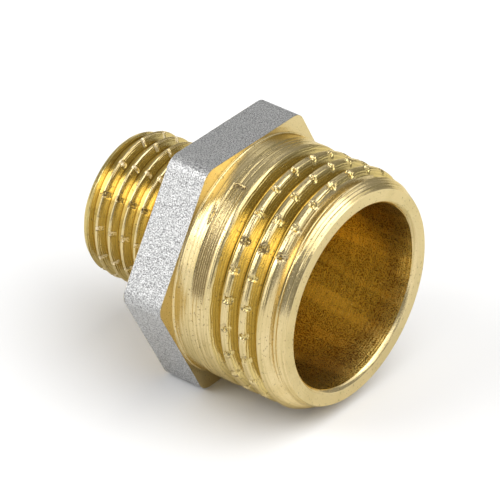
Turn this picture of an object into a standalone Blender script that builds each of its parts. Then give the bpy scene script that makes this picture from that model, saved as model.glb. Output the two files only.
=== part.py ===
"""Reducing hex nipple: G 1/2 male thread, hexagon of 21 mm across flats, G 1/4 male thread.

The nipple is one turned brass body with a stepped through bore.  Its hexagon keeps a thin
nickel skin on the six flats.  The bore axis lies along X with the larger thread towards +X,
two flats of the hexagon face up and down, and the origin is on the axis at mid-length.
"""
import math

import bmesh
import bpy
from mathutils import Matrix

MM = 0.001

# Lengths along the axis, in millimetres.
LENGTH_LARGE = 10.67           # hexagon front face to the end of the G 1/2 thread
LENGTH_HEX = 3.78              # width of the hexagon
LENGTH_SMALL = 9.17            # hexagon back face to the end of the G 1/4 thread
LENGTH = LENGTH_LARGE + LENGTH_HEX + LENGTH_SMALL

# Stations along X, in millimetres, counted from mid-length.
X_LARGE_END = LENGTH / 2
X_HEX_FRONT = X_LARGE_END - LENGTH_LARGE
X_HEX_BACK = X_HEX_FRONT - LENGTH_HEX
X_SMALL_END = -LENGTH / 2

# Hexagon and its nickel skin.
ACROSS_FLATS = 21.0
CORNER_RADIUS = 1.3
CORNER_SEGMENTS = 4
SKIN_THICKNESS = 0.10
SKIN_GAP = 0.02
CORE_INSET = SKIN_THICKNESS + SKIN_GAP

SMALL_ALLOWANCE = 0.09         # the G 1/4 thread is cut near the low side of its tolerance

# Threads, both right-handed.  A groove is centred on groove_start where its helix starts, at
# start_angle from the underside of the fitting: the large one starts bluntly beside its plain
# shank, on the far side, and the small one starts clear of the metal and ends beside its own.
LARGE = {                      # G 1/2, 14 threads to the inch
    "pitch": 25.4 / 14,
    "crest_radius": 10.35,
    "root_radius": 18.631 / 2,
    "mean_radius": (20.955 + 18.631) / 4,
    "shank_radius": 10.25,
    "groove_start": X_HEX_FRONT + 2.866,
    "start_angle": math.radians(30.0),
    "turns": 5,
}
SMALL = {                      # G 1/4, 19 threads to the inch
    "pitch": 25.4 / 19,
    "crest_radius": 6.37,
    "root_radius": 11.445 / 2 - SMALL_ALLOWANCE,
    "mean_radius": (13.157 + 11.445) / 4 - SMALL_ALLOWANCE,
    "shank_radius": 6.30,
    "groove_start": X_SMALL_END - 1.317,
    "start_angle": 0.0,
    "turns": 7,
}
FLANK_HALF_ANGLE = math.radians(27.5)
GROOVE_FILL = 0.96             # width of a groove cutter's outer side, in pitches

# Collar, plain shanks and lead-in chamfers.
COLLAR_RADIUS = 10.36
COLLAR_HEIGHT = 0.12
LARGE_FILLET_LENGTH = 0.28     # collar edge down to the shank, along the axis
LARGE_SHANK_END = 1.45         # end of the plain shank, from the hexagon front face
LARGE_CHAMFER = (1.95, 9.34)   # length along the axis, radius at the end face
SMALL_FILLET_RADIUS = 0.40
SMALL_SHANK_END = 1.20         # end of the plain shank, from the hexagon back face
SMALL_CHAMFER = (1.00, 5.81)
BURIED_RADIUS = 9.0            # turned core inside the hexagon
BURIED_COLLAR = 0.5            # how far the collar reaches into the hexagon

# Bore.
LARGE_BORE_RADIUS = 8.0
LARGE_BORE_DEPTH = 11.6
SMALL_BORE_RADIUS = 4.1
DRILL_HALF_ANGLE = math.radians(59.0)
BORE_MOUTH_CHAMFER = 0.28
OVERRUN = 1.0                  # how far a cutter runs past the metal it cuts

SEGMENTS = 48                  # facets round every turned shape, and thread steps a turn
ARC_POINTS = 5
MERGE = 1e-7

BRASS = {"Base Color": (0.86, 0.65, 0.26, 1.0), "Metallic": 1.0, "Roughness": 0.22}
NICKEL = {"Base Color": (0.66, 0.66, 0.65, 1.0), "Metallic": 1.0, "Roughness": 0.55}


def clear_scene():
    for obj in list(bpy.data.objects):
        bpy.data.objects.remove(obj, do_unlink=True)


def new_collection(name):
    collection = bpy.data.collections.new(name)
    bpy.context.scene.collection.children.link(collection)
    return collection


def new_material(name, values):
    material = bpy.data.materials.new(name)
    material.use_nodes = True
    shader = material.node_tree.nodes["Principled BSDF"]
    for socket, value in values.items():
        shader.inputs[socket].default_value = value
    return material


def add_object(name, mesh, collection):
    obj = bpy.data.objects.new(name, mesh)
    collection.objects.link(obj)
    return obj


def hide_cutter(obj):
    obj.hide_render = True
    obj.display_type = "WIRE"


def along_x(obj):
    """Lay an object that was turned about its own Z axis along the world's X axis."""
    obj.rotation_euler = (0.0, math.pi / 2, 0.0)


def profile_mesh(name, points, closed):
    """Wire mesh of (radius, height) points in millimetres, in the plane Y = 0."""
    shape = bmesh.new()
    verts = [shape.verts.new((radius * MM, 0.0, height * MM)) for radius, height in points]
    for start, end in zip(verts, verts[1:]):
        shape.edges.new((start, end))
    if closed:
        shape.edges.new((verts[-1], verts[0]))
    mesh = bpy.data.meshes.new(name)
    shape.to_mesh(mesh)
    shape.free()
    return mesh


def add_screw(obj, pitch=0.0, turns=1):
    """Turn a profile about its object's Z axis, or sweep it along a right-hand helix."""
    screw = obj.modifiers.new("turn", "SCREW")
    screw.axis = "Z"
    screw.angle = 2 * math.pi
    screw.steps = SEGMENTS
    screw.render_steps = SEGMENTS
    screw.screw_offset = pitch * MM
    screw.iterations = turns
    screw.use_merge_vertices = True
    screw.merge_threshold = MERGE
    return screw


def turned(name, points, collection):
    """Solid of revolution; points run from the axis at the top, outside, down to the axis."""
    obj = add_object(name, profile_mesh(name, points, closed=False), collection)
    add_screw(obj)
    along_x(obj)
    return obj


def arc(centre, radius, start, end):
    """Points on an arc of (radius, height) about a centre, with angles in radians."""
    steps = [start + (end - start) * i / (ARC_POINTS - 1) for i in range(ARC_POINTS)]
    return [(centre[0] + radius[0] * math.cos(a), centre[1] + radius[1] * math.sin(a)) for a in steps]


def body_profile():
    """Outside of the turned blank, from the large end to the small end."""
    fillet_top = X_HEX_FRONT + COLLAR_HEIGHT + LARGE_FILLET_LENGTH
    depth = COLLAR_RADIUS - LARGE["shank_radius"]
    large_fillet = arc((COLLAR_RADIUS, fillet_top), (depth, LARGE_FILLET_LENGTH), math.pi, 1.5 * math.pi)
    shank_rise = LARGE["crest_radius"] - LARGE["shank_radius"]
    large_shank_end = X_HEX_FRONT + LARGE_SHANK_END
    radius = SMALL_FILLET_RADIUS
    small_centre = (SMALL["shank_radius"] + radius, X_HEX_BACK - radius)
    small_fillet = arc(small_centre, (radius, radius), 0.5 * math.pi, math.pi)
    small_shank_end = X_HEX_BACK - SMALL_SHANK_END
    small_rise = SMALL["crest_radius"] - SMALL["shank_radius"]
    return [
        (0.0, X_LARGE_END),
        (LARGE_CHAMFER[1], X_LARGE_END),
        (LARGE["crest_radius"], X_LARGE_END - LARGE_CHAMFER[0]),
        (LARGE["crest_radius"], large_shank_end + shank_rise * math.tan(FLANK_HALF_ANGLE)),
        (LARGE["shank_radius"], large_shank_end),
        *large_fillet,
        (COLLAR_RADIUS, X_HEX_FRONT - BURIED_COLLAR),
        (BURIED_RADIUS, X_HEX_FRONT - BURIED_COLLAR),
        (BURIED_RADIUS, X_HEX_BACK + BURIED_COLLAR),
        (small_centre[0], X_HEX_BACK + BURIED_COLLAR),
        *small_fillet,
        (SMALL["shank_radius"], small_shank_end),
        (SMALL["crest_radius"], small_shank_end - small_rise * math.tan(FLANK_HALF_ANGLE)),
        (SMALL["crest_radius"], X_SMALL_END + SMALL_CHAMFER[0]),
        (SMALL_CHAMFER[1], X_SMALL_END),
        (0.0, X_SMALL_END),
    ]


def bore_profile():
    """Stepped through bore with a drill-point shoulder and broken mouth edges."""
    large_mouth = LARGE_BORE_RADIUS + BORE_MOUTH_CHAMFER
    small_mouth = SMALL_BORE_RADIUS + BORE_MOUTH_CHAMFER
    shoulder = X_LARGE_END - LARGE_BORE_DEPTH
    cone = (LARGE_BORE_RADIUS - SMALL_BORE_RADIUS) / math.tan(DRILL_HALF_ANGLE)
    return [
        (0.0, X_LARGE_END + OVERRUN),
        (large_mouth + OVERRUN, X_LARGE_END + OVERRUN),
        (LARGE_BORE_RADIUS, X_LARGE_END - BORE_MOUTH_CHAMFER),
        (LARGE_BORE_RADIUS, shoulder),
        (SMALL_BORE_RADIUS, shoulder - cone),
        (SMALL_BORE_RADIUS, X_SMALL_END + BORE_MOUTH_CHAMFER),
        (small_mouth + OVERRUN, X_SMALL_END - OVERRUN),
        (0.0, X_SMALL_END - OVERRUN),
    ]


def hex_tube(name, apothem, corner_radius, x_low, x_high, capped, collection):
    """Hexagonal prism along X with rounded corners, flats up and down, open or capped."""
    corner = apothem / math.cos(math.pi / 6)
    shape = bmesh.new()
    bmesh.ops.create_cone(
        shape,
        cap_ends=capped,
        segments=6,
        radius1=corner * MM,
        radius2=corner * MM,
        depth=(x_high - x_low) * MM,
    )
    lengthwise = [e for e in shape.edges if abs(e.verts[0].co.z - e.verts[1].co.z) > MERGE]
    bmesh.ops.bevel(
        shape,
        geom=lengthwise,
        offset=corner_radius * math.tan(math.pi / 6) * MM,
        offset_type="OFFSET",
        segments=CORNER_SEGMENTS,
        profile=0.5,
        affect="EDGES",
    )
    middle = (x_low + x_high) / 2 * MM
    turn = Matrix.Translation((middle, 0.0, 0.0)) @ Matrix.Rotation(math.pi / 2, 4, "Y")
    bmesh.ops.transform(shape, matrix=turn, verts=shape.verts)
    bmesh.ops.recalc_face_normals(shape, faces=shape.faces)
    mesh = bpy.data.meshes.new(name)
    shape.to_mesh(mesh)
    shape.free()
    return add_object(name, mesh, collection)


def thread_cutter(name, thread, collection):
    """Closed helical solid of one V groove, rising towards +X."""
    slope = math.tan(FLANK_HALF_ANGLE)
    start = thread["groove_start"]
    half_mean = thread["pitch"] / 4
    half_root = half_mean - (thread["mean_radius"] - thread["root_radius"]) * slope
    # The outer side is narrower than the pitch, so that neighbouring turns stay apart.
    half_outer = thread["pitch"] / 2 * GROOVE_FILL
    outer_radius = thread["mean_radius"] + (half_outer - half_mean) / slope
    section = [
        (outer_radius, start + half_outer),
        (outer_radius, start - half_outer),
        (thread["root_radius"], start - half_root),
        (thread["root_radius"], start + half_root),
    ]
    helix = add_object(name + "_helix", profile_mesh(name, section, closed=True), collection)
    add_screw(helix, pitch=thread["pitch"], turns=thread["turns"])
    graph = bpy.context.evaluated_depsgraph_get()
    mesh = bpy.data.meshes.new_from_object(helix.evaluated_get(graph))
    bpy.data.objects.remove(helix, do_unlink=True)
    shape = bmesh.new()
    shape.from_mesh(mesh)
    open_edges = [edge for edge in shape.edges if edge.is_boundary]
    bmesh.ops.holes_fill(shape, edges=open_edges, sides=0)
    bmesh.ops.recalc_face_normals(shape, faces=shape.faces)
    bmesh.ops.transform(shape, matrix=Matrix.Rotation(thread["start_angle"], 4, "Z"), verts=shape.verts)
    shape.to_mesh(mesh)
    shape.free()
    cutter = add_object(name, mesh, collection)
    along_x(cutter)
    return cutter


def add_boolean(obj, operation, other):
    boolean = obj.modifiers.new(other.name, "BOOLEAN")
    boolean.operation = operation
    boolean.object = other
    boolean.solver = "EXACT"


def finish_shading(obj, material):
    obj.data.materials.append(material)
    obj.data.shade_smooth()
    obj.data.set_sharp_from_angle(angle=math.radians(20.0))


def build_body(parts, cutters):
    """Turned and threaded brass body with its hexagon, one piece of metal."""
    body = turned("nipple_body", body_profile(), parts)
    core = hex_tube(
        "hexagon_core",
        ACROSS_FLATS / 2 - CORE_INSET,
        CORNER_RADIUS - CORE_INSET,
        X_HEX_BACK,
        X_HEX_FRONT,
        True,
        cutters,
    )
    bore = turned("bore_cutter", bore_profile(), cutters)
    large_groove = thread_cutter("large_groove", LARGE, cutters)
    small_groove = thread_cutter("small_groove", SMALL, cutters)
    for cutter in (core, bore, large_groove, small_groove):
        hide_cutter(cutter)
    add_boolean(body, "UNION", core)
    for cutter in (bore, large_groove, small_groove):
        add_boolean(body, "DIFFERENCE", cutter)
    finish_shading(body, new_material("brass", BRASS))
    return body


def build_skin(parts):
    """Nickel skin that wraps the hexagon's flats and its rounded corners."""
    skin = hex_tube(
        "hex_plating",
        ACROSS_FLATS / 2,
        CORNER_RADIUS,
        X_HEX_BACK + SKIN_GAP,
        X_HEX_FRONT - SKIN_GAP,
        False,
        parts,
    )
    shell = skin.modifiers.new("thickness", "SOLIDIFY")
    shell.thickness = SKIN_THICKNESS * MM
    shell.offset = -1.0
    shell.use_even_offset = True
    finish_shading(skin, new_material("nickel", NICKEL))
    return skin


clear_scene()
parts_collection = new_collection("hex_nipple")
cutter_collection = new_collection("cutters")
build_body(parts_collection, cutter_collection)
build_skin(parts_collection)
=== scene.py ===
"""Looks of the reducing hex nipple: turned brass threads and a sandblasted nickel hexagon."""
import math
from types import SimpleNamespace

import bmesh
import bpy
import numpy as np
from mathutils import Matrix, Vector, noise


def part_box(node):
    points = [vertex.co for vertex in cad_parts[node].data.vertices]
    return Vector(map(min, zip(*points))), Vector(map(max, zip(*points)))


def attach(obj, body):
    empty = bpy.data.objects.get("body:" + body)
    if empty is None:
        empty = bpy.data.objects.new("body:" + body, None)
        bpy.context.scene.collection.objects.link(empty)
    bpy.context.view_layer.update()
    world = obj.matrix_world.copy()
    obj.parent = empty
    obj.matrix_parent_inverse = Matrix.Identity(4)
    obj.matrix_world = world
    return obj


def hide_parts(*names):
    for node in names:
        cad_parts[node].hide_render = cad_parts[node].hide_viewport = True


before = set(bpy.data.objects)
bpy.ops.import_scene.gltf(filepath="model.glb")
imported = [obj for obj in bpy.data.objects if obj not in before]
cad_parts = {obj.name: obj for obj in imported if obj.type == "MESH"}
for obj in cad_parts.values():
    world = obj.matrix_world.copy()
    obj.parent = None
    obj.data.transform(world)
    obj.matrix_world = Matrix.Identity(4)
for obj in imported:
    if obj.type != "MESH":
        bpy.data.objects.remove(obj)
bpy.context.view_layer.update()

MM = 0.001
FULL_TURN = 2 * math.pi

# ---------------------------------------------------------------- dimensions, mm

body_low, body_high = (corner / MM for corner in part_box("nipple_body"))
skin_low, skin_high = (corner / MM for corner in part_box("hex_plating"))
X_LARGE_END = body_high.x
X_SMALL_END = body_low.x

SKIN_GAP = 0.02
SKIN_THICKNESS = 0.10
X_HEX_FRONT = skin_high.x + SKIN_GAP
X_HEX_BACK = skin_low.x - SKIN_GAP
FLAT_RADIUS = skin_high.z
CORE_RADIUS = FLAT_RADIUS - SKIN_THICKNESS - SKIN_GAP
CORNER_RADIUS = 1.42
LIP = 0.012
LIP_INSET = 0.02

COLLAR_RADIUS = 10.42
COLLAR_EDGE = 0.03
X_COLLAR = X_HEX_FRONT + 0.07
LARGE_SHANK = 10.29
LARGE_SHANK_LENGTH = 1.1
LARGE_FILLET = 0.15
X_LARGE_SHANK = X_COLLAR + LARGE_FILLET
LARGE_LEAD = 1.95
LARGE_END_RADIUS = 9.34
X_LARGE_LEAD = X_LARGE_END - LARGE_LEAD

SMALL_SHANK = 6.30
SMALL_FILLET = 0.40
FILLET_STEPS = 6
X_SMALL_SHANK = X_HEX_BACK - SMALL_FILLET
SMALL_SHANK_END = X_HEX_BACK - 1.20
SMALL_LEAD = 1.00
SMALL_END_RADIUS = 5.81
X_SMALL_LEAD = X_SMALL_END + SMALL_LEAD

LARGE_BORE = 8.0
SMALL_BORE = 4.1
BORE_CONE = math.tan(math.radians(59.0))
X_BORE_SHOULDER = X_LARGE_END - 11.6
X_SMALL_BORE = X_BORE_SHOULDER - (LARGE_BORE - SMALL_BORE) / BORE_CONE
MOUTH = 0.28
RIM_BLEND = 0.06
LARGE_LEAD_BLEND = 0.06
SMALL_LEAD_BLEND = 0.05

INCH = 25.4
SLOPE = math.tan(math.radians(27.5))           # way along a flank for each mm outwards
LARGE_PITCH = INCH / 14
LARGE_MAJOR, LARGE_MINOR = 20.955, 18.631      # diameters of G 1/2
LARGE_FLANK_SHIFT = 0.05
SMALL_PITCH = INCH / 19
SMALL_MAJOR, SMALL_MINOR = 13.157, 11.445      # diameters of G 1/4
SMALL_FLANK_SHIFT = -0.15
SMALL_ALLOWANCE = 0.09                         # this thread is cut near its low limit

# ---------------------------------------------------------------- marks: mm and degrees

RUN_OUT_STEP = 115.5
RUN_OUT_FADE = 166.0
RUN_OUT_END = 176.0
RUN_OUT_DEPTH = 0.07
BAND_HALF_WIDTH = LARGE_PITCH / 2 - 0.22
BAND_RIDGE = 0.024
BAND_FINE_RIDGE = 0.010
NOTCH_DEPTH = 0.05
NOTCH_HALF_WIDTH = 0.4
BAND_FLAT = 0.86                               # share of the band before its edges rise
# strength of the chatter and of the painted shade on its band, rising round the axis
CHATTER_START = 0.30
CHATTER_RISE = 0.60
CHATTER_AND_SHADE_GROWTH = (122.0, 152.0)
GROOVE_START = (285.0, 315.0)

GOUGE_ANGLE = math.radians(133.0)
GOUGE_REACH = math.radians(5.5)
GOUGE_HALF_WIDTH = 0.17
GOUGE_SLANT = 0.9
GOUGE_DEPTH = 0.13
GOUGE_DARKENING = 0.75
GOUGE_RING = (0.75, 0.30)                      # place and width of the darker ring round it
X_GOUGE = X_HEX_FRONT + 1.27

RIDGE_SPACING = 0.20
RIDGE_HEIGHT = 0.008
RIDGE_MIDDLE = 0.34
RIDGE_REACH = 0.32
RIDGE_FADE = (146.0, 162.0)
RIDGE_LOSS = 0.85

PASS_SPACING = 0.26
PASS_HEIGHT = 0.020

LARGE_DENT_WINDOW = math.radians(2.0)
SMALL_DENT_WINDOW = math.radians(3.2)
BLAST_FINE = {"scale": 6.4, "seed": 1}
BLAST_COARSE = {"scale": 2.1, "seed": 2}
BLAST_PIT = 0.026
BLAST_PIT_POWER = 1.4
BLAST_WAVE = 0.008


# ---------------------------------------------------------------- curves

def soft_max(a, b, width):
    return 0.5 * (a + b + np.sqrt((a - b) ** 2 + width ** 2 * 0.25))


def soft_min(a, b, width):
    return 0.5 * (a + b - np.sqrt((a - b) ** 2 + width ** 2 * 0.25))


def smooth_step(low, high, value):
    t = np.clip((value - low) / (high - low), 0.0, 1.0)
    return t * t * (3 - 2 * t)


def bell(value, middle, width):
    return np.exp(-((value - middle) / width) ** 2)


def degrees_round(theta):
    """Angle round the axis in degrees, from 0 to 360."""
    return np.degrees(theta) % 360


def angle_from(theta, angle):
    """Signed difference of two angles, within half a turn."""
    return (theta - angle + math.pi) % FULL_TURN - math.pi


def noise_field(theta, x, r, scale, seed):
    """Smooth noise over the surface; scale is in bumps a millimetre."""
    y = r * np.cos(theta) * scale
    z = r * np.sin(theta) * scale
    along = x * scale
    flat = zip(along.ravel().tolist(), y.ravel().tolist(), z.ravel().tolist())
    shift = Vector((17.3 * seed, 5.1 * seed, 9.7 * seed))
    values = [noise.noise(Vector(point) + shift) for point in flat]
    return np.array(values).reshape(np.shape(x))


# ---------------------------------------------------------------- threads

class Thread:
    """One right-hand thread: its groove centre is at x0 where the angle is zero.

    At the radius mean, ridge and groove are equally wide.  front_edge and back_edge say how far
    the +X and -X edges of its crest are rounded, and root_round how far its root is.
    """

    def __init__(self, pitch, crest, root, mean, x0, front_edge, back_edge, root_round):
        self.pitch = pitch
        self.crest = crest
        self.root = root
        self.x0 = x0
        self.front_edge = front_edge
        self.back_edge = back_edge
        self.root_round = root_round
        self.half_root = pitch / 4 - (mean - root) * SLOPE
        self.half_crest = pitch / 4 + (crest - mean) * SLOPE

    def offset(self, theta, x):
        """Distance along X from the nearest groove centre."""
        turns = (x - self.x0) / self.pitch - theta / FULL_TURN
        return (turns - np.round(turns)) * self.pitch

    def crest_offset(self, theta, x):
        """Distance along X from the nearest crest's middle."""
        return self.offset(theta, x - self.pitch / 2)

    def turn(self, theta, x):
        """Number of the groove that is nearest, counted along the helix from x0."""
        return np.round((x - self.x0) / self.pitch - theta / FULL_TURN)

    def radius(self, offset):
        """Thread profile, with a round root and rounded crest edges."""
        away = np.abs(offset)
        flank = self.root + (away - self.half_root) / SLOPE
        lower = soft_max(flank, self.root, self.root_round)
        return soft_min(lower, self.crest, np.where(offset < 0, self.front_edge, self.back_edge))

    def depth(self, r):
        """0 at the crest, 1 at the root."""
        return (self.crest - r) / (self.crest - self.root)

    def rows(self, on_root, on_flank, on_crest):
        """Offsets over one pitch, from one crest's middle to the next."""
        crest = np.linspace(-self.pitch / 2, -self.half_crest, on_crest // 2 + 1)
        flank = np.linspace(-self.half_crest, -self.half_root, on_flank + 1)
        root = np.linspace(-self.half_root, self.half_root, on_root + 1)
        left = np.concatenate([crest[:-1], flank[:-1], root[:-1]])
        right = -np.concatenate([flank[::-1][:-1], crest[::-1][:-1]])
        return np.concatenate([left, right])


LARGE = Thread(
    pitch=LARGE_PITCH,
    crest=10.35,
    root=LARGE_MINOR / 2,
    mean=(LARGE_MAJOR + LARGE_MINOR) / 4 + LARGE_FLANK_SHIFT,
    x0=X_HEX_FRONT + 1.50,
    front_edge=0.42,
    back_edge=0.06,
    root_round=0.10,
)
SMALL = Thread(
    pitch=SMALL_PITCH,
    crest=6.37,
    root=SMALL_MINOR / 2 - SMALL_ALLOWANCE,
    mean=(SMALL_MAJOR + SMALL_MINOR) / 4 - SMALL_ALLOWANCE + SMALL_FLANK_SHIFT,
    x0=X_SMALL_END - 1.237 + SMALL_PITCH / 4,
    front_edge=0.18,
    back_edge=0.05,
    root_round=0.05,
)


# ---------------------------------------------------------------- dents on the crests

class Dents:
    """A row of knurl marks pressed into the crests of one thread, the middle one bolder.

    The marks are step apart round the axis, about phase.  The row doesn't close exactly, and its
    gap is at the far side.  across and along are half a mark's sides, shift is its place on the
    crest, and the row stays between the planes low and high.
    """

    SQUARENESS = 2.4             # of the outline; 2 would be an ellipse
    CREST_BAND = 0.45            # height below the crest that a mark may reach
    WANDER_ROUND = 0.04
    WANDER_ALONG = 0.03
    SIZE_SPREAD = 0.12
    BOLD_SIZE = 0.16
    BOLD_DEPTH = 0.35
    # Parts of a mark, in distances from its middle, with its outline at 1.
    PIT = (0.62, 1.0)
    RIM = (1.10, 0.13)
    # reach of the painted shade in a bold mark and of the painted highlight in the others
    SHADE_HIGHLIGHT_REACH = (0.78, 1.08)
    OUTLINE = (1.02, 0.12)
    # painted shadow round the outline of the marks that are not bold
    OUTLINE_SHADE = 0.7
    RIM_HEIGHT = 0.14            # of the mark's depth
    FLOOR_DEPTH = 0.8
    FLOOR_ROUGH = 1.3
    ROUGH_SCALE = 5.5
    ROUGH_SEED = 3
    MESH_COLUMNS = 9

    def __init__(self, thread, phase, step, count, across, along, shift, depth, low, high):
        self.thread = thread
        self.angles = [phase + step * (i - count // 2) for i in range(count)]
        self.across = across
        self.along = along
        self.shift = shift
        self.depth = depth
        self.low = low
        self.high = high

    def nearest(self, theta):
        """Signed angle from the nearest mark, and that mark's number."""
        nearest = np.full(np.shape(theta), 10.0)
        serial = np.zeros(np.shape(theta))
        for number, angle in enumerate(self.angles):
            away = angle_from(theta, angle)
            closer = np.abs(away) < np.abs(nearest)
            nearest = np.where(closer, away, nearest)
            serial = np.where(closer, number, serial)
        return nearest, serial

    def field(self, theta, x, radius):
        """Pit of a mark, 0 outside to 1 at its bottom, its raised rim, and its painted shade and
        highlight.

        This is 1, painted shade, in a bold mark and -1, a painted highlight, in the others, which
        have a painted shadow round their outline.
        """
        nearest, serial = self.nearest(theta)
        bold = 1.0 * (serial == len(self.angles) // 2)
        crest_offset = self.thread.crest_offset(theta, x)
        crest_x = x - crest_offset
        turn = np.round(crest_x / self.thread.pitch)
        # No two marks have quite the same place and size.
        wander = np.sin(serial * 12.9 + turn * 7.3)
        spread = self.SIZE_SPREAD * np.sin(serial * 5.1 + turn * 3.7)
        size = 1 + spread + self.BOLD_SIZE * bold
        u = (nearest * self.thread.crest + self.WANDER_ROUND * wander) / (self.across * size)
        v = (crest_offset - self.shift - self.WANDER_ALONG * wander) / (self.along * size)
        power = self.SQUARENESS
        distance = (np.abs(u) ** power + np.abs(v) ** power) ** (1 / power)
        pit = (1 - smooth_step(*self.PIT, distance)) * (1 + self.BOLD_DEPTH * bold)
        rim = bell(distance, *self.RIM)
        shade_and_highlight = (1 - smooth_step(*self.SHADE_HIGHLIGHT_REACH, distance)) * (2 * bold - 1)
        shade_and_highlight = shade_and_highlight + self.OUTLINE_SHADE * (1 - bold) * bell(distance, *self.OUTLINE)
        on = (crest_x > self.low) & (crest_x < self.high)
        on = on & (radius > self.thread.crest - self.CREST_BAND)
        return [np.where(on, value, 0.0) for value in (pit, rim, shade_and_highlight)]

    def pressed(self, theta, x, radius):
        """Radius with the marks pressed in."""
        pit, rim, shade_and_highlight = self.field(theta, x, radius)
        near = (pit > 0) | (rim > 0.02)
        rough = np.zeros(np.shape(pit))
        if np.any(near):
            rough[near] = noise_field(
                theta[near], x[near], radius[near], self.ROUGH_SCALE, self.ROUGH_SEED)
        floor = self.FLOOR_DEPTH + self.FLOOR_ROUGH * rough
        return radius - self.depth * (pit * floor - self.RIM_HEIGHT * rim * (1 + rough))

    def shade_and_highlight(self, theta, x, r):
        """Painted shade and highlight of the marks on the finished surface."""
        return self.field(theta, x, r + self.depth)[2]

    def columns(self, window, outside):
        """Angles round the axis, close together across each mark and wider apart between."""
        marks = sorted(angle % FULL_TURN for angle in self.angles)
        angles = []
        for angle, following in zip(marks, marks[1:] + [marks[0] + FULL_TURN]):
            angles += list(np.linspace(angle - window, angle + window, self.MESH_COLUMNS))
            gap = following - angle - 2 * window
            count = max(2, round(outside * gap / (following - angle)))
            angles += list(np.linspace(angle + window, following - window, count + 2)[1:-1])
        return np.array(angles)


LARGE_MARKS = Dents(
    LARGE, phase=math.radians(138.1), step=math.radians(14.1), count=25,
    across=0.31, along=0.42, shift=0.10, depth=0.13,
    low=X_HEX_FRONT + 3.6, high=X_LARGE_END - 2.1)
SMALL_MARKS = Dents(
    SMALL, phase=math.radians(145.5), step=math.radians(27.4), count=13,
    across=0.22, along=0.38, shift=0.24, depth=0.09,
    low=X_SMALL_END + 0.6, high=X_HEX_BACK - 1.6)


# ---------------------------------------------------------------- mesh building

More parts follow.
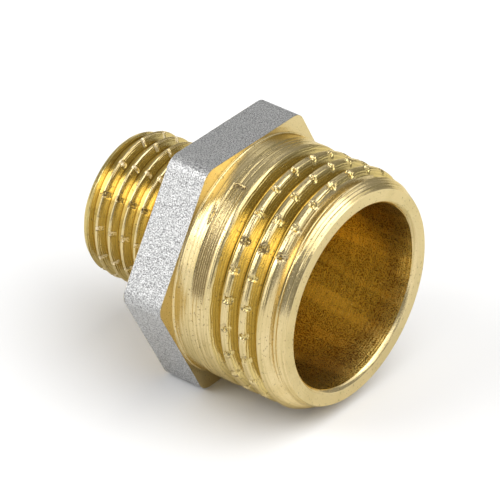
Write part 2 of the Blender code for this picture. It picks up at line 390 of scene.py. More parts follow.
class Surface:
    """Points as (angle, x, radius) and the faces between them."""

    def __init__(self):
        self.theta = []
        self.x = []
        self.r = []
        self.count = 0
        self.faces = []

    def add(self, theta, x, r):
        theta, x, r = np.broadcast_arrays(theta, x, r)
        first = self.count
        self.theta.append(theta.ravel())
        self.x.append(x.ravel())
        self.r.append(r.ravel())
        self.count += theta.size
        return np.arange(first, self.count).reshape(theta.shape)

    def strip(self, a, b):
        """Join two closed rings with the same number of points."""
        following_a = np.roll(a, -1)
        following_b = np.roll(b, -1)
        self.faces += list(zip(a.tolist(), following_a.tolist(), following_b.tolist(), b.tolist()))

    def sweep(self, ring, angles, profile):
        """Carry a ring on through a profile of (radius, x) and return the last ring."""
        for r, x in profile:
            following = self.add(angles, x, r)
            self.strip(ring, following)
            ring = following
        return ring

    def stitch(self, a, angles_a, b, angles_b):
        """Join two closed rings with different numbers of points, in order of angle."""
        ring_a, turn_a = in_order(a, angles_a)
        ring_b, turn_b = in_order(b, angles_b)
        last_a = len(ring_a) - 1
        last_b = len(ring_b) - 1
        i = j = 0
        while i < last_a or j < last_b:
            if j == last_b or (i < last_a and turn_a[i + 1] <= turn_b[j + 1]):
                self.faces.append((ring_a[i], ring_a[i + 1], ring_b[j]))
                i += 1
            else:
                self.faces.append((ring_a[i], ring_b[j + 1], ring_b[j]))
                j += 1

    def thread_patch(self, thread, angles, rows, x_low, x_high, radius):
        """Helical lattice between two planes, with one point of each plane at every angle.

        rows are offsets from a groove centre over one pitch.  Returns both end rings.
        """
        per_turn = len(rows)
        clear = thread.pitch / per_turn * 0.35
        turns = range(math.floor((x_low - thread.x0) / thread.pitch) - 2,
                      math.ceil((x_high - thread.x0) / thread.pitch) + 2)
        stations = np.concatenate([rows + turn * thread.pitch for turn in turns])
        low = self.add(angles, x_low, radius(angles, np.full(len(angles), x_low)))
        high = self.add(angles, x_high, radius(angles, np.full(len(angles), x_high)))
        inside = []
        index = []
        for angle in angles:
            x = thread.x0 + thread.pitch * angle / FULL_TURN + stations
            kept = np.flatnonzero((x > x_low + clear) & (x < x_high - clear))
            points = self.add(angle, x[kept], radius(np.full(len(kept), angle), x[kept]))
            inside.append(kept)
            index.append(points)
        for c in range(len(angles)):
            nxt = (c + 1) % len(angles)
            shift = per_turn if nxt == 0 else 0
            here = dict(zip(inside[c].tolist(), index[c].tolist()))
            there = dict(zip((inside[nxt] - shift).tolist(), index[nxt].tolist()))
            common = sorted(set(here) & set(there))
            for row, above in zip(common, common[1:]):
                self.faces.append((here[row], there[row], there[above], here[above]))
            self.close_end(low[c], low[nxt], here, there, common[0], -1)
            self.close_end(high[c], high[nxt], here, there, common[-1], 1)
        return low, high

    def close_end(self, edge_here, edge_there, here, there, row, way):
        """Fill between a patch's outermost shared row and its end plane, in one column."""
        left = [here[row]]
        right = [there[row]]
        step = row + way
        while step in here or step in there:
            if step in here:
                left.append(here[step])
            if step in there:
                right.append(there[step])
            step += way
        left.append(edge_here)
        right.append(edge_there)
        if len(left) == len(right) == 2:
            self.faces.append((left[0], right[0], right[1], left[1]))
        elif len(left) > len(right):
            self.faces += [(left[i], right[0], left[i + 1]) for i in range(len(left) - 1)]
            self.faces.append((right[0], right[1], left[-1]))
        else:
            self.faces += [(left[0], right[i], right[i + 1]) for i in range(len(right) - 1)]
            self.faces.append((left[0], right[-1], left[1]))

    def make(self, name, masks, sharp):
        """Smooth object with edges sharper than an angle left sharp.

        masks names its float attributes, each a function of angle, x and radius.
        """
        theta = np.concatenate(self.theta)
        x = np.concatenate(self.x)
        r = np.concatenate(self.r)
        points = np.column_stack([x, r * np.cos(theta), r * np.sin(theta)]) * MM
        mesh = bpy.data.meshes.new(name)
        mesh.from_pydata(points.tolist(), [], self.faces)
        shape = bmesh.new()
        shape.from_mesh(mesh)
        bmesh.ops.recalc_face_normals(shape, faces=shape.faces)
        shape.to_mesh(mesh)
        shape.free()
        for mask, value in masks.items():
            layer = mesh.attributes.new(mask, "FLOAT", "POINT")
            layer.data.foreach_set("value", value(theta, x, r).astype(np.float32))
        mesh.validate()
        mesh.shade_smooth()
        mesh.set_sharp_from_angle(angle=math.radians(sharp))
        obj = bpy.data.objects.new(name, mesh)
        bpy.context.scene.collection.objects.link(obj)
        return obj


def in_order(ring, angles):
    """A closed ring's points in order of angle, with those angles, the first one repeated."""
    angles = angles % FULL_TURN
    order = np.argsort(angles)
    first = order[0]
    return [ring[i] for i in order] + [ring[first]], [*np.sort(angles), angles[first] + FULL_TURN]


# ---------------------------------------------------------------- the threaded outside

def crest_ridges(theta, x):
    """Fine ridges left on the large crest's rounded front by the turning tool."""
    across = LARGE.crest_offset(theta, x)
    waver = 0.6 + 0.4 * np.sin(theta * 3 + x * 1.1) * np.sin(theta * 7 - x * 0.7)
    edge = 1 - smooth_step(0.5, 1.0, np.abs(across - RIDGE_MIDDLE) / RIDGE_REACH)
    upper = 1 - RIDGE_LOSS * smooth_step(*RIDGE_FADE, degrees_round(theta))
    wave = np.cos(FULL_TURN * across / RIDGE_SPACING + 1.3 * np.sin(theta * 2))
    return RIDGE_HEIGHT * upper * waver * edge * wave


def run_out(theta):
    """Depth of the tool's run-out beside the shank: a sharp step, then a slow way out."""
    degrees = degrees_round(theta)
    fading = 1 - smooth_step(RUN_OUT_FADE, RUN_OUT_END, degrees)
    return np.where(degrees > RUN_OUT_STEP, fading, 0.0)


def run_out_band(theta, x):
    """Place across the band where the first groove would be, -1 to 1, and where that band is."""
    theta = theta % FULL_TURN
    across = LARGE.offset(theta, x) / BAND_HALF_WIDTH
    inside = (LARGE.turn(theta, x) == 0) & (np.abs(across) < 1)
    return across, inside


def large_groove_share(theta, x):
    """0 on the shank and the run-out band, rising to 1 where the groove starts, far side."""
    turn = LARGE.turn(theta % FULL_TURN, x)
    starting = smooth_step(*GROOVE_START, degrees_round(theta))
    return np.where(turn > 0, 1.0, np.where(turn == 0, starting, 0.0))


def gouge_distance(theta, x):
    """0 in the middle of the gouge on the shank, 1 at its edge."""
    away = angle_from(theta, GOUGE_ANGLE)
    ragged = 0.25 * np.sin(away * 95.0) + 0.15 * np.sin(away * 210.0 + 1.0)
    aside = (x - X_GOUGE - GOUGE_SLANT * away) / GOUGE_HALF_WIDTH + ragged
    return np.hypot(away / GOUGE_REACH, aside)


def large_shank(theta, x):
    """Plain shank, the run-out band with its turned ridges and its notch, and one gouge."""
    along = (x - X_LARGE_SHANK) / LARGE_SHANK_LENGTH
    r = LARGE_SHANK + (LARGE.crest - LARGE_SHANK) * smooth_step(0.0, 1.6, along)
    across, inside = run_out_band(theta, x)
    window = (1 - smooth_step(BAND_FLAT, 1.0, np.abs(across))) * inside
    cut = run_out(theta)
    ridges = BAND_RIDGE * np.cos(FULL_TURN * (across - 0.19) / 0.6)
    ridges = ridges + BAND_FINE_RIDGE * np.cos(FULL_TURN * across / 0.37)
    ridges = (ridges - (BAND_RIDGE + BAND_FINE_RIDGE)) * (1 - cut)
    past_notch = np.abs(degrees_round(theta) - RUN_OUT_STEP) / NOTCH_HALF_WIDTH
    notch = window * np.maximum(0, 1 - past_notch)
    gouge = 1 - smooth_step(0.3, 1.0, gouge_distance(theta, x))
    r = r + window * (ridges - RUN_OUT_DEPTH * cut)
    return r - NOTCH_DEPTH * notch - GOUGE_DEPTH * gouge


def lead_in(x, start, crest, end_radius, length):
    """Lead-in chamfer with the steps of its turning passes."""
    away = np.abs(x - start)
    slope = (crest - end_radius) / length
    passes = PASS_HEIGHT * np.sin(FULL_TURN * away / PASS_SPACING) * smooth_step(0.1, 0.4, away)
    return crest - away * slope + passes * (1 - smooth_step(length - 0.2, length, away))


def large_radius(theta, x):
    """Outside of the G 1/2 end, from the shank to the end face."""
    r = LARGE.radius(LARGE.offset(theta, x)) + crest_ridges(theta, x)
    share = large_groove_share(theta, x)
    r = share * r + (1 - share) * np.minimum(large_shank(theta, x), LARGE.crest)
    along = np.maximum(x, X_LARGE_LEAD)
    lead = lead_in(along, X_LARGE_LEAD, LARGE.crest, LARGE_END_RADIUS, LARGE_LEAD)
    return LARGE_MARKS.pressed(theta, x, soft_min(r, lead, LARGE_LEAD_BLEND))


def small_radius(theta, x):
    """Outside of the G 1/4 end, from the end face to the shank."""
    offset = SMALL.offset(theta, x)
    share = 1 - smooth_step(X_HEX_BACK - 1.3, X_HEX_BACK - 1.0, x - offset)
    threaded = 1 - smooth_step(-0.1, 0.0, x - SMALL_SHANK_END)
    shank = SMALL_SHANK + (SMALL.crest - SMALL_SHANK) * threaded
    r = share * SMALL.radius(offset) + (1 - share) * shank
    along = np.minimum(x, X_SMALL_LEAD)
    lead = lead_in(along, X_SMALL_LEAD, SMALL.crest, SMALL_END_RADIUS, SMALL_LEAD)
    r = np.minimum(soft_min(r, lead, SMALL_LEAD_BLEND), np.maximum(shank, r * share))
    return SMALL_MARKS.pressed(theta, x, r)


# ---------------------------------------------------------------- masks for the brass

def dent_shade_highlight_mask(theta, x, r):
    """Painted shade, 1 in the bold dents and as a shadow line along the run-out's notch, less in a
    darker ring round the gouge, and -1 for a painted highlight in other dents.
    """
    across, inside = run_out_band(theta, x)
    # painted shadow line along the run-out's step, beside the notch cut into the mesh
    at_notch = np.abs(degrees_round(theta) - RUN_OUT_STEP) < 0.5
    notch = inside * (np.abs(across) < 0.9) * at_notch
    # darker ring round the gouge
    gouge = GOUGE_DARKENING * bell(gouge_distance(theta, x), *GOUGE_RING) * (x < X_HEX_FRONT + 2.0)
    large = np.maximum(LARGE_MARKS.shade_and_highlight(theta, x, r), np.maximum(notch, gouge))
    small = SMALL_MARKS.shade_and_highlight(theta, x, r)
    outside = np.where(x > 0, r > LARGE_END_RADIUS - 0.5, r > SMALL_END_RADIUS - 0.5)
    return np.where(x > 0, large, small) * outside


def chatter_and_shade_mask(theta, x, r):
    """Above 0 where the tool chattered, along a part of the run-out band; it also sets painted
    shade there, deepening round the axis.
    """
    across, inside = run_out_band(theta, x)
    chatter_and_shade_strength = CHATTER_START + CHATTER_RISE * smooth_step(*CHATTER_AND_SHADE_GROWTH, degrees_round(theta))
    band = inside * (1 - smooth_step(0.88, 1.0, np.abs(across)))
    return run_out(theta) * chatter_and_shade_strength * band * (r > LARGE_BORE + 0.5)


def groove_mask(theta, x, r):
    """Depth in a thread groove, from 0 at the crest to 1 at the root."""
    outside = np.where(x > 0, r > LARGE_BORE + 0.9, r > SMALL_BORE + 1.0)
    threaded = (x < X_LARGE_LEAD) & ((x > X_LARGE_SHANK) | (x < X_SMALL_SHANK))
    return np.clip(np.where(x > 0, LARGE.depth(r), SMALL.depth(r)), 0, 1) * outside * threaded


def bore_mask(theta, x, r):
    """1 inside the bore."""
    return np.where(x > X_HEX_BACK, r < LARGE_BORE + 0.01, r < SMALL_BORE + 0.01) * 1.0


# ---------------------------------------------------------------- the two pieces

def hex_radius(theta, flat, corner):
    """Outline of a hexagon with flats up and down and rounded corners, as a radius."""
    sector = math.pi / 3
    away = np.abs((theta % sector) - sector / 2)
    reach = sector / 2 - away
    straight = flat / np.cos(away)
    centre = (flat - corner) / math.cos(math.pi / 6)
    # distance from the axis to the corner's arc, along the ray at this angle
    half_chord = np.sqrt(np.maximum(corner ** 2 - (centre * np.sin(reach)) ** 2, 0))
    bend = centre * np.cos(reach) + half_chord
    end_of_flat = math.atan((flat - corner) * math.tan(math.pi / 6) / flat)
    return np.where(away > end_of_flat, bend, straight)


def bore_profile():
    """(radius, x) from the large end's face through the bore to the small end's."""
    x_wall = X_LARGE_END - MOUTH - 0.05
    return [
        (LARGE_END_RADIUS - RIM_BLEND, X_LARGE_END),
        (LARGE_BORE + MOUTH + RIM_BLEND, X_LARGE_END),
        (LARGE_BORE + MOUTH, X_LARGE_END - 0.015),
        (LARGE_BORE + 0.02, X_LARGE_END - MOUTH),
        (LARGE_BORE, x_wall),
        *((LARGE_BORE, x) for x in np.linspace(x_wall, X_BORE_SHOULDER, 5)[1:]),
        *((r, X_BORE_SHOULDER - (LARGE_BORE - r) / BORE_CONE)
          for r in np.linspace(LARGE_BORE, SMALL_BORE, 4)[1:]),
        *((SMALL_BORE, x) for x in np.linspace(X_SMALL_BORE, X_SMALL_END + MOUTH, 4)[1:]),
        (SMALL_BORE + MOUTH, X_SMALL_END),
    ]


def small_fillet():
    """(radius, x) from the small shank to the back of the hexagon."""
    for step in range(1, FILLET_STEPS + 1):
        angle = step / FILLET_STEPS * math.pi / 2
        yield (SMALL_SHANK + SMALL_FILLET * (1 - math.cos(angle)),
               X_SMALL_SHANK + SMALL_FILLET * math.sin(angle))


def hexagon_profile(angles):
    """(radius, x) from the back of the hexagon over its core and the collar to the shank."""
    lip = hex_radius(angles, FLAT_RADIUS - LIP_INSET, CORNER_RADIUS - LIP_INSET)
    core = hex_radius(angles, CORE_RADIUS, CORNER_RADIUS - SKIN_THICKNESS - SKIN_GAP)
    inner = COLLAR_RADIUS - COLLAR_EDGE
    return [
        (lip, X_HEX_BACK),
        (lip, X_HEX_BACK + LIP),
        (core, X_HEX_BACK + LIP),
        (core, X_HEX_FRONT - LIP),
        (lip, X_HEX_FRONT - LIP),
        (lip, X_HEX_FRONT),
        (COLLAR_RADIUS, X_HEX_FRONT),
        (COLLAR_RADIUS, X_COLLAR - COLLAR_EDGE),
        (inner, X_COLLAR),
        *((inner - (inner - LARGE_SHANK) * math.sin(a),
           X_COLLAR + LARGE_FILLET * (1 - math.cos(a)))
          for a in np.linspace(0, math.pi / 2, 8)[1:-1]),
    ]


def build_body():
    """The brass: one closed surface through the bore and back over the outside."""
    surface = Surface()
    step = math.radians(RUN_OUT_STEP)
    at_step = [step - 0.007, step - 0.001, step + 0.001, step + 0.007]
    large = np.sort(np.append(LARGE_MARKS.columns(LARGE_DENT_WINDOW, outside=5), at_step))
    small = SMALL_MARKS.columns(SMALL_DENT_WINDOW, outside=6)
    shank, end = surface.thread_patch(
        LARGE, large, LARGE.rows(on_root=5, on_flank=7, on_crest=12),
        X_LARGE_SHANK, X_LARGE_END, large_radius)
    small_end, small_shank = surface.thread_patch(
        SMALL, small, SMALL.rows(on_root=3, on_flank=5, on_crest=8),
        X_SMALL_END, X_SMALL_SHANK, small_radius)

    ring = surface.sweep(end, large, bore_profile())
    surface.stitch(ring, large, small_end, small)
    ring = surface.sweep(small_shank, small, small_fillet())
    (radius, x), *profile = hexagon_profile(large)
    back = surface.add(large, x, radius)
    surface.stitch(ring, small, back, large)
    ring = surface.sweep(back, large, profile)
    surface.strip(ring, shank)
    masks = {
        "dent_shade_highlight": dent_shade_highlight_mask, "chatter_and_shade": chatter_and_shade_mask, "groove": groove_mask, "bore": bore_mask}
    return surface.make("brass_body", masks, sharp=42.0)


def blasted(theta, x, r):
    """Radius with the pits left by the blasting, never above the flat."""
    x = np.full(theta.shape, x)
    fine = 0.5 + 0.5 * noise_field(theta, x, r, **BLAST_FINE)
    coarse = 0.5 + 0.5 * noise_field(theta, x, r, **BLAST_COARSE)
    return r - (BLAST_PIT * fine ** BLAST_PIT_POWER + BLAST_WAVE * coarse)


def build_skin():
    """Nickel skin: outside with blasted grain, folded over its edges to a plain inside."""
    surface = Surface()
    around = np.linspace(0, FULL_TURN, 960, endpoint=False)
    outer = hex_radius(around, FLAT_RADIUS, CORNER_RADIUS)
    inner = hex_radius(around, FLAT_RADIUS - SKIN_THICKNESS, CORNER_RADIUS - SKIN_THICKNESS)
    (radius, x), *profile = [
        (blasted(around, x, outer), x) for x in np.linspace(skin_low.x, skin_high.x, 49)]
    first = surface.add(around, x, radius)
    ring = surface.sweep(first, around, [*profile, (inner, skin_high.x), (inner, skin_low.x)])
    surface.strip(ring, first)
    return surface.make("nickel_skin", {}, sharp=60.0)


body = build_body()
skin = build_skin()
for obj, node, slot in ((body, "nipple_body", "brass"), (skin, "hex_plating", "nickel")):
    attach(obj, "root")
    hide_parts(node)


# ---------------------------------------------------------------- materials

BRASS = (0.71, 0.575, 0.31, 1)
BRASS_PATCH = (0.665, 0.53, 0.27, 1)
# painted shade down the thread grooves
BRASS_GROOVE_SHADE = (0.67, 0.53, 0.215, 1)
BRASS_GRAIN = (0.42, 0.33, 0.13, 1)
BRASS_TURNED = (0.40, 0.31, 0.11, 1)
BRASS_THREADS = (0.40, 0.31, 0.12, 1)
# painted shade at the thread roots
BRASS_ROOT_SHADE = (0.44, 0.30, 0.07, 1)
BRASS_FACE = (0.68, 0.565, 0.30, 1)
BRASS_SPECK = (0.13, 0.10, 0.05, 1)
BRASS_TINT = (1.0, 0.90, 0.62, 1)
# painted shade in the bold dents and along the run-out's notch, also the darker ring round the
# gouge
DENT_SHADE = (0.19, 0.14, 0.075, 1)
# painted highlight inside the dents that are not bold
DENT_HIGHLIGHT = (0.95, 0.83, 0.60, 1)
# painted shade on the chattered band
CHATTER_SHADE = (0.17, 0.115, 0.045, 1)
TARNISH = (0.34, 0.23, 0.06, 1)
TARNISH_GOLD = (0.80, 0.60, 0.18, 1)
# painted reflection streaks along the bore
BORE_REFLECTION_STREAK = (0.95, 0.70, 0.22, 1)
NICKEL_DARK = (0.31, 0.31, 0.31, 1)
NICKEL_PALE = (0.64, 0.64, 0.63, 1)
NICKEL_SPECK = (0.11, 0.105, 0.10, 1)
FLOOR_GREY = (0.83, 0.83, 0.83, 1)

SLOW = 0.12                                    # noise bumps a millimetre, round the axis
TURNED_DETAIL = 2.4                            # radius in the noise that a groove goes round
CIRCLES = 7.0                                  # turning marks a millimetre on plain surfaces
X_BETWEEN_THREADS = -1.0
GRAIN_SCALE = 9.0
PATCH_SCALE = 0.45
SPECK_SCALE = 5.2
MOTTLE_SCALE = 6.5
LINES_A_TURN = 16.0
RIBS_A_TURN = 9.0
BRASS_BUMP = 0.023                             # mm
BRASS_GRAIN_BUMP = 0.006
NICKEL_PIT_SCALE = 8.5
NICKEL_FINE_SCALE = 10.5
NICKEL_PIT_BUMP = 0.036
NICKEL_FINE_BUMP = 0.018


class Graph:
    """Short calls for building one material's nodes."""

    def __init__(self, name):
        self.material = bpy.data.materials.new(name)
        self.material.use_nodes = True
        self.tree = self.material.node_tree
        self.shader = self.tree.nodes["Principled BSDF"]

    def plug(self, socket, value):
        if isinstance(value, bpy.types.NodeSocket):
            self.tree.links.new(value, socket)
        else:
            socket.default_value = value

    def node(self, kind, *values):
        made = self.tree.nodes.new("ShaderNode" + kind)
        for socket, value in zip(made.inputs, values):
            self.plug(socket, value)
        return made

    def math(self, operation, *values):
        made = self.node("Math", *values)
        made.operation = operation
        return made.outputs[0]

    def times(self, a, b):
        return self.math("MULTIPLY", a, b)

    def plus(self, a, b):
        return self.math("ADD", a, b)

    def minus(self, a, b):
        return self.math("SUBTRACT", a, b)

    def vector(self, x, y, z):
        return self.node("CombineXYZ", x, y, z).outputs[0]

    def place(self):
        """Object coordinates in mm: the point, x, y, z, distance from the axis and angle."""
        scaled = self.node("VectorMath", self.node("TexCoord").outputs["Object"])
        scaled.operation = "SCALE"
        scaled.inputs["Scale"].default_value = 1 / MM
        x, y, z = self.node("SeparateXYZ", scaled.outputs[0]).outputs
        radius = self.math("SQRT", self.plus(self.times(y, y), self.times(z, z)))
        return scaled.outputs[0], x, y, z, radius, self.math("ARCTAN2", z, y)

    def noise(self, vector, scale, detail, w=None):
        made = self.node("TexNoise")
        made.noise_dimensions = "3D" if w is None else "4D"
        self.plug(made.inputs["Vector"], vector)
        made.inputs["Scale"].default_value = scale
        made.inputs["Detail"].default_value = detail
        if w is not None:
            self.plug(made.inputs["W"], w)
        return made.outputs[0]

    def remap(self, value, low, high, to_low=0.0, to_high=1.0):
        made = self.tree.nodes.new("ShaderNodeMapRange")
        made.interpolation_type = "SMOOTHSTEP"
        for socket, number in zip(made.inputs, (value, low, high, to_low, to_high)):
            self.plug(socket, number)
        return made.outputs[0]

    def mix(self, factor, a, b):
        made = self.tree.nodes.new("ShaderNodeMix")
        made.data_type = "RGBA"
        self.plug(made.inputs[0], factor)
        self.plug(made.inputs[6], a)
        self.plug(made.inputs[7], b)
        return made.outputs[2]

    def layers(self, colour, *layers):
        """A colour with others mixed over it, each by its own factor."""
        for factor, over in layers:
            colour = self.mix(factor, colour, over)
        return colour

    def attribute(self, name):
        made = self.tree.nodes.new("ShaderNodeAttribute")
        made.attribute_name = name
        return made.outputs["Fac"]

    def bump(self, height, distance, normal=None):
        made = self.tree.nodes.new("ShaderNodeBump")
        made.inputs["Distance"].default_value = distance * MM
        self.plug(made.inputs["Height"], height)
        if normal is not None:
            self.plug(made.inputs["Normal"], normal)
        return made.outputs[0]


def brass_patterns(graph):
    """Masks, and patterns that follow the threads or the circles that the tool turned."""
    point, x, y, z, radius, angle = graph.place()
    on_large = graph.math("GREATER_THAN", x, X_BETWEEN_THREADS)
    large_rate = FULL_TURN / LARGE_PITCH
    small_rate = FULL_TURN / SMALL_PITCH
    rate = graph.plus(small_rate, graph.times(on_large, large_rate - small_rate))
    phase = graph.minus(graph.times(x, rate), angle)
    slow_y = graph.times(y, SLOW)
    slow_z = graph.times(z, SLOW)
    round_groove = graph.vector(graph.times(graph.math("COSINE", phase), TURNED_DETAIL),
                                graph.times(graph.math("SINE", phase), TURNED_DETAIL), slow_y)
    along = graph.vector(graph.times(x, CIRCLES), slow_y, slow_z)
    down_bore = graph.vector(graph.times(x, 0.10), graph.times(angle, 5.0), 0.0)
    grain = graph.noise(point, GRAIN_SCALE, 3.0)
    patches = graph.noise(point, PATCH_SCALE, 2.0)
    normal_x = graph.node("SeparateXYZ", graph.node("TexCoord").outputs["Normal"]).outputs[0]
    dent_shade_highlight = graph.attribute("dent_shade_highlight")
    return SimpleNamespace(
        on_large=on_large,
        helical=graph.noise(round_groove, 1.0, 3.0, slow_z),
        circular=graph.noise(along, 1.0, 2.0, graph.times(radius, CIRCLES)),
        streaks=graph.noise(down_bore, 1.0, 2.0),
        grain=grain,
        patches=patches,
        specks=graph.remap(graph.noise(point, SPECK_SCALE, 1.0), 0.68, 0.73),
        mottle=graph.noise(point, MOTTLE_SCALE, 1.0),
        lines=graph.math("SINE", graph.plus(
            graph.times(phase, LINES_A_TURN), graph.times(patches, 14.0))),
        ribs=graph.math("SINE", graph.plus(
            graph.times(phase, RIBS_A_TURN), graph.times(grain, 5.0))),
        face=graph.remap(normal_x, 0.93, 0.985),
        groove=graph.attribute("groove"),
        chatter_and_shade=graph.attribute("chatter_and_shade"),
        bore=graph.attribute("bore"),
        # painted shade of the dents and the notch, with the gouge's darker ring; then the dents'
        # painted highlights
        dark=graph.remap(dent_shade_highlight, 0.0, 0.7),
        bright=graph.remap(dent_shade_highlight, 0.0, -0.7),
    )


def brass_colour(graph, marks):
    """Brass with painted shade in grooves and roots, darker lines, painted shade and highlights in
    dents, painted shade on the chattered band, and tarnished in the bore with painted reflection
    streaks.
    """
    remap, times = graph.remap, graph.times
    threads = times(remap(marks.lines, -0.2, 0.9, 0.0, 0.50), remap(marks.groove, 0.03, 0.15))
    bore_tarnish_and_reflection = graph.layers(
        TARNISH,
        (remap(marks.grain, 0.40, 0.58), TARNISH_GOLD),
        # painted reflection streaks along the bore, over the tarnish
        (remap(marks.streaks, 0.48, 0.62, 0.0, 0.6), BORE_REFLECTION_STREAK),
        (remap(marks.circular, 0.50, 0.62, 0.0, 0.25), TARNISH),
    )
    return graph.layers(
        BRASS,
        (remap(marks.patches, 0.35, 0.65), BRASS_PATCH),
        # painted shade, deeper gold, down the grooves
        (remap(marks.groove, 0.05, 0.25), BRASS_GROOVE_SHADE),
        (remap(marks.grain, 0.35, 0.60, 0.22, 0.0), BRASS_GRAIN),
        (remap(marks.helical, 0.50, 0.60, 0.0, 0.45), BRASS_TURNED),
        (threads, BRASS_THREADS),
        # painted shade at the roots
        (remap(marks.groove, 0.75, 0.95, 0.0, 0.9), BRASS_ROOT_SHADE),
        (times(marks.face, 0.65), BRASS_FACE),
        (times(marks.specks, 0.6), BRASS_SPECK),
        # painted shade in the bold dents, round the other dents and along the notch, and a darker
        # ring round the gouge
        (times(marks.dark, remap(marks.mottle, 0.46, 0.56, 0.95, 0.0)), DENT_SHADE),
        # painted highlight inside the dents that are not bold
        (times(marks.bright, remap(marks.mottle, 0.44, 0.52, 0.0, 0.9)), DENT_HIGHLIGHT),
        # painted shade on the chattered band, striped by its ribs
        (times(marks.chatter_and_shade, remap(marks.ribs, -0.7, 0.7, 0.50, 0.98)), CHATTER_SHADE),
        (marks.bore, bore_tarnish_and_reflection),
    )


def brass_height(graph, marks):
    """Height of turning marks, the chattered band's ribs, thread ridges and specks, for the bump.
    """
    remap, times = graph.remap, graph.times
    height = graph.plus(times(marks.helical, 1.2), times(marks.circular, 0.8))
    height = times(height, remap(marks.groove, 0.05, 0.30, 1.0, 0.18))
    height = graph.plus(height, times(times(marks.ribs, marks.chatter_and_shade), 0.6))
    on_flank = times(remap(marks.groove, 0.02, 0.10), remap(marks.groove, 0.50, 0.30))
    strength = graph.minus(0.30, times(marks.on_large, 0.14))
    height = graph.plus(height, times(times(marks.lines, on_flank), strength))
    return graph.minus(height, times(marks.specks, 0.6))


def brass_material():
    """Machined brass: turning marks that follow the thread, pits, dull patches, a dark bore, and
    painted shade, highlights and reflection streaks in its colour.
    """
    graph = Graph("machined_brass")
    marks = brass_patterns(graph)
    rough = graph.remap(marks.grain, 0.3, 0.7, 0.13, 0.24)
    for mask, more in ((marks.dark, 0.15), (marks.bright, 0.20), (marks.chatter_and_shade, 0.14),
                       (marks.bore, 0.10), (marks.face, 0.14)):
        rough = graph.plus(rough, graph.times(mask, more))
    normal = graph.bump(brass_height(graph, marks), BRASS_BUMP)
    normal = graph.bump(marks.grain, BRASS_GRAIN_BUMP, normal)
    graph.plug(graph.shader.inputs["Base Color"], brass_colour(graph, marks))
    graph.plug(graph.shader.inputs["Roughness"], rough)
    graph.plug(graph.shader.inputs["Normal"], normal)
    graph.shader.inputs["Metallic"].default_value = 1.0
    graph.shader.inputs["Specular Tint"].default_value = BRASS_TINT
    return graph.material


def nickel_material():
    """Nickel over sandblasted metal: fine pits, mottled grey and a soft gloss."""
    graph = Graph("sandblasted_nickel")
    point = graph.place()[0]
    fine = graph.noise(point, NICKEL_FINE_SCALE, 3.0)
    pits = graph.noise(point, NICKEL_PIT_SCALE, 2.0)
    colour = graph.layers(
        NICKEL_DARK,
        (graph.remap(pits, 0.36, 0.60), NICKEL_PALE),
        (graph.remap(fine, 0.54, 0.63, 0.0, 0.70), NICKEL_SPECK),
    )
    normal = graph.bump(pits, NICKEL_PIT_BUMP)
    normal = graph.bump(fine, NICKEL_FINE_BUMP, normal)
    graph.plug(graph.shader.inputs["Base Color"], colour)
    graph.plug(graph.shader.inputs["Roughness"], graph.remap(fine, 0.3, 0.7, 0.38, 0.52))
    graph.plug(graph.shader.inputs["Normal"], normal)
    graph.shader.inputs["Metallic"].default_value = 1.0
    return graph.material


def floor_material():
    graph = Graph("pale_floor")
    graph.shader.inputs["Base Color"].default_value = FLOOR_GREY
    graph.shader.inputs["Roughness"].default_value = 0.9
    graph.shader.inputs["Specular IOR Level"].default_value = 0.0
    return graph.material


# ---------------------------------------------------------------- camera and studio

CAMERA_AZIMUTH = 37.063
CAMERA_ELEVATION = 32.477
CAMERA_ROLL = 1.497
CAMERA_DISTANCE = 419.2757125
CAMERA_ASIDE = 0.582625
CAMERA_ABOVE = -0.3742625
CAMERA_TARGET = Vector((X_HEX_FRONT + 0.58, 0, 0))
SENSOR = 36.0
LENS = 370.723248

FLOOR_SIZE = 4.0
WORLD_STRENGTH = 0.38
SOFTBOX_DISTANCE = 800.0
SOFTBOXES = {
    # azimuth, elevation, width and height as angles in degrees, and radiance
    "key_upper": (-40.0, 41.0, 34.0, 28.0, 4.3),
    "key_lower": (-33.0, 14.0, 40.0, 26.0, 1.3),
    "overhead": (98.0, 69.0, 56.0, 50.0, 2.3),
    "back_right": (140.0, 48.0, 58.0, 38.0, 1.0),
    "right_side": (92.0, 30.0, 50.0, 30.0, 1.3),
    "back_fill": (-118.0, 48.0, 40.0, 26.0, 0.2),
    "back_left": (-140.0, 33.0, 18.0, 14.0, 0.5),
}


def direction(azimuth, elevation):
    """Unit vector towards a place round the object, from angles in degrees."""
    azimuth = math.radians(azimuth)
    elevation = math.radians(elevation)
    return Vector((
        math.sin(azimuth) * math.cos(elevation),
        -math.cos(azimuth) * math.cos(elevation),
        math.sin(elevation),
    ))


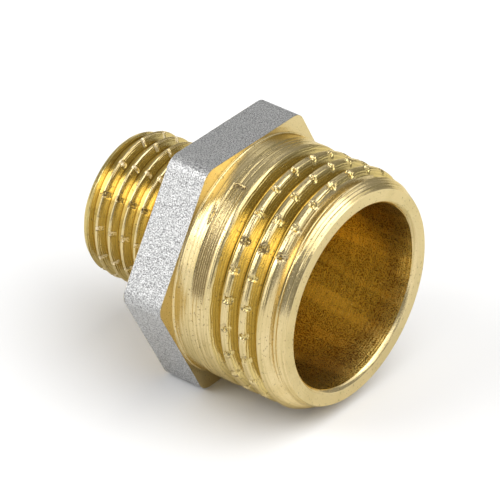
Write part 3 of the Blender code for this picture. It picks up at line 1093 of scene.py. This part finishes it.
def add_camera():
    """Camera in front of the large end and above it, seen along a long lens."""
    roll = math.radians(CAMERA_ROLL)
    back = direction(CAMERA_AZIMUTH, CAMERA_ELEVATION)
    level = (-back).cross(Vector((0, 0, 1))).normalized()
    upright = level.cross(-back)
    right = math.cos(roll) * level + math.sin(roll) * upright
    up = -math.sin(roll) * level + math.cos(roll) * upright
    place = back * CAMERA_DISTANCE - right * CAMERA_ASIDE - up * CAMERA_ABOVE + CAMERA_TARGET
    data = bpy.data.cameras.new("camera")
    data.sensor_width = SENSOR
    data.lens = LENS
    data.clip_start = 0.01
    data.clip_end = 10.0
    camera = bpy.data.objects.new("camera", data)
    bpy.context.scene.collection.objects.link(camera)
    turn = Matrix((right, up, back)).transposed().to_4x4()
    camera.matrix_world = Matrix.Translation(place * MM) @ turn
    bpy.context.scene.camera = camera


def add_softbox(name, azimuth, elevation, wide, high, radiance):
    """Soft light aimed at the object; wide and high are the angles that it fills, in degrees."""
    towards = direction(azimuth, elevation)
    data = bpy.data.lights.new(name, "AREA")
    data.shape = "RECTANGLE"
    data.size = 2 * SOFTBOX_DISTANCE * MM * math.tan(math.radians(wide / 2))
    data.size_y = 2 * SOFTBOX_DISTANCE * MM * math.tan(math.radians(high / 2))
    data.energy = radiance * math.pi * data.size * data.size_y
    light = bpy.data.objects.new(name, data)
    light.location = towards * SOFTBOX_DISTANCE * MM
    light.rotation_euler = towards.to_track_quat("Z", "Y").to_euler()
    bpy.context.scene.collection.objects.link(light)


def add_floor():
    """Plain pale floor under the object."""
    bpy.ops.mesh.primitive_plane_add(size=FLOOR_SIZE, location=(0, 0, skin_low.z * MM))
    floor = bpy.context.object
    floor.name = "floor"
    floor.data.materials.append(floor_material())


def add_world():
    """Even white light from all round."""
    world = bpy.data.worlds.new("studio")
    bpy.context.scene.world = world
    world.use_nodes = True
    background = world.node_tree.nodes["Background"]
    background.inputs["Color"].default_value = (1, 1, 1, 1)
    background.inputs["Strength"].default_value = WORLD_STRENGTH


body.data.materials.append(brass_material())
skin.data.materials.append(nickel_material())
add_camera()
add_world()
add_floor()
for name, settings in SOFTBOXES.items():
    add_softbox(name, *settings)
bpy.context.scene.view_settings.view_transform = "Standard"
